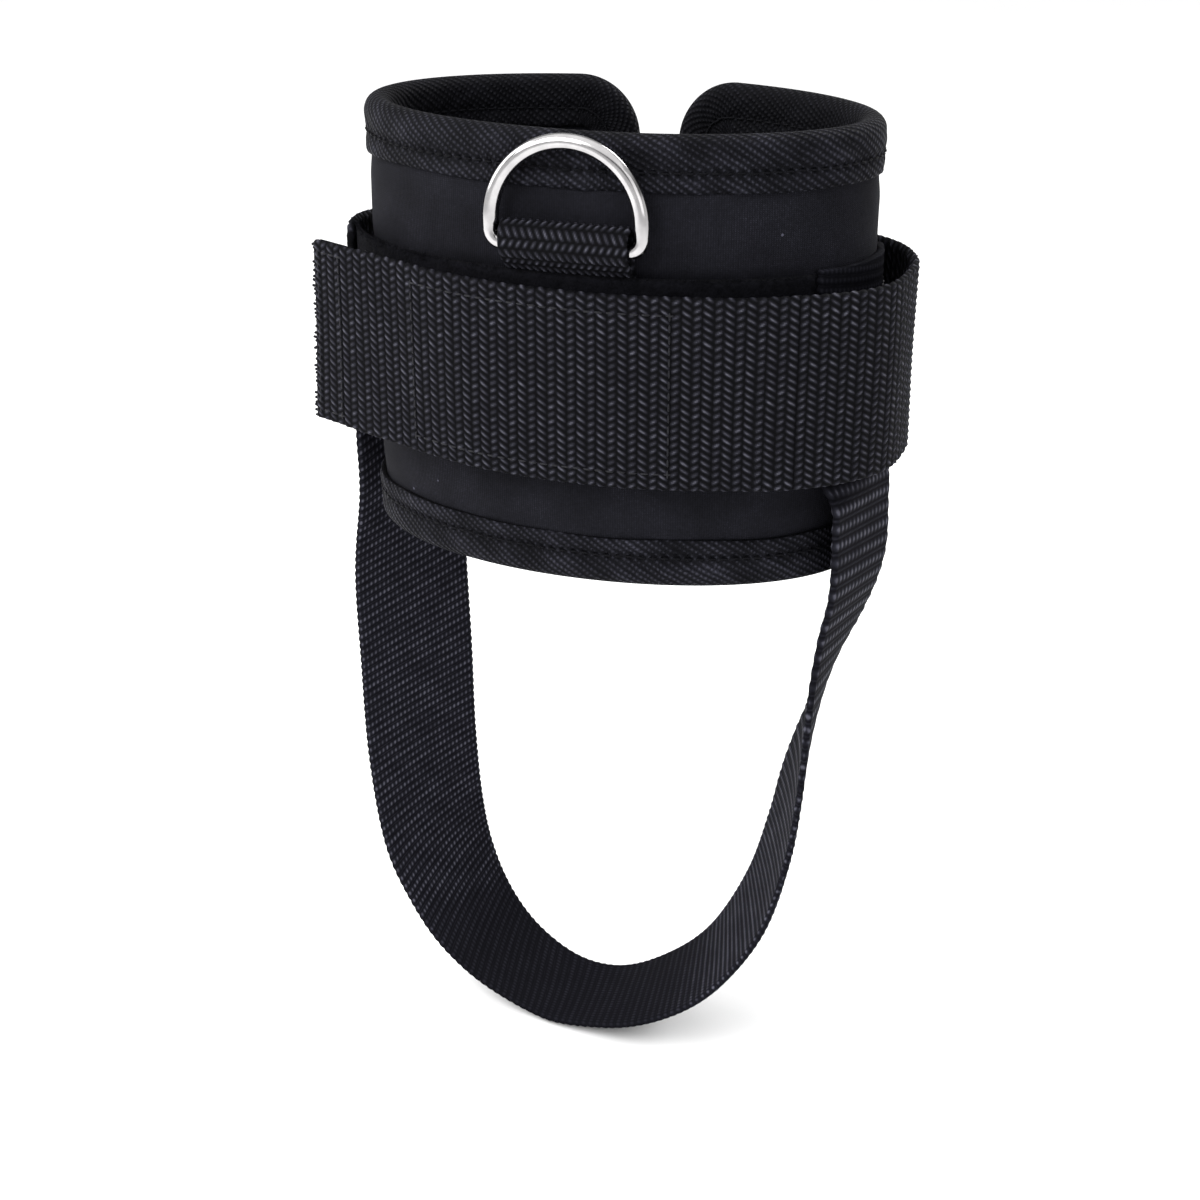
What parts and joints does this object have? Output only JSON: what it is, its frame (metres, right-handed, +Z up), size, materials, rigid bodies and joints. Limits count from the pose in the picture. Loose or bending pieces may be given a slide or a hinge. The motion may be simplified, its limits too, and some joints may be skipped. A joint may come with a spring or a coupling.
{
  "type": "ankle cuff",
  "caption": "Padded wrap-around ankle cuff with a hook-and-loop closure strap, a front D-ring for a cable or weight, and a webbing strap that passes under the foot.",
  "frame": {"origin": "centre of the ankle opening, at the pad's mid height", "axes": "+Z up the leg, -Y the front with the D-ring, +X the side where the closure strap turns to the front"},
  "size_m": [0.1629, 0.0963, 0.2817],
  "materials": {
    "jersey": "fine black knit jersey laminated to the foam, matt",
    "foam": "closed-cell neoprene foam, matt",
    "lining": "brushed black lining knit",
    "binding_tape": "fine twill binding tape, folded over the edge",
    "webbing": "heavy polypropylene webbing with rows of slanted yarns, slight sheen",
    "foot_webbing": "polypropylene webbing ribbed across its width, slight sheen",
    "loop_pile": "fuzzy loop pile",
    "hook_tape": "moulded nylon hooks on a tape",
    "thread": "twisted black polyester sewing thread",
    "ring_metal": "polished nickel-plated steel wire"
  },
  "bodies": {
    "cuff_body": {"outer_face_fabric": "jersey", "foam_core": "foam", "lining_fabric": "lining", "edge_binding": "binding_tape", "binding_stitch_outer": "thread", "binding_stitch_inner": "thread", "loop_panel": "loop_pile", "loop_panel_stitch": "thread", "d_ring_tab": "webbing", "foot_strap_end_left": "foot_webbing", "foot_strap_end_right": "foot_webbing", "foot_strap_tack_left": "thread", "foot_strap_tack_right": "thread", "closure_strap_back": "webbing", "strap_anchor_stitch": "thread"},
    "ring": {"d_ring": "ring_metal"},
    "foot_loop": {"foot_strap_loop": "foot_webbing"},
    "strap_front": {"closure_strap_front": "webbing", "hook_patch": "hook_tape", "hook_patch_stitch": "thread"},
    "strap_tail": {"closure_strap_tail": "webbing", "strap_end_hem": "webbing", "strap_end_stitch": "thread"}
  },
  "joints": [
    {"name": "d_ring_swing", "type": "hinge", "parent": "cuff_body", "child": "ring", "pos_m": [0, -0.0439, 0.0318], "axis": [1, 0, 0], "range_deg": [0, 135]},
    {"name": "foot_strap_swing", "type": "hinge", "parent": "cuff_body", "child": "foot_loop", "pos_m": [-0.0688, 0.0146, -0.06], "axis": [0.9864, -0.1644, 0], "range_deg": [-30, 24]},
    {"name": "closure_strap_open", "type": "hinge", "parent": "cuff_body", "child": "strap_front", "pos_m": [0.0775, -0.004, -0.0032], "axis": [0, 0, 1], "range_deg": [0, 110]},
    {"name": "pull_tab_flex", "type": "hinge", "parent": "strap_front", "child": "strap_tail", "pos_m": [-0.05, -0.037, -0.0032], "axis": [0, 0, 1], "range_deg": [-8, 75]}
  ]
}
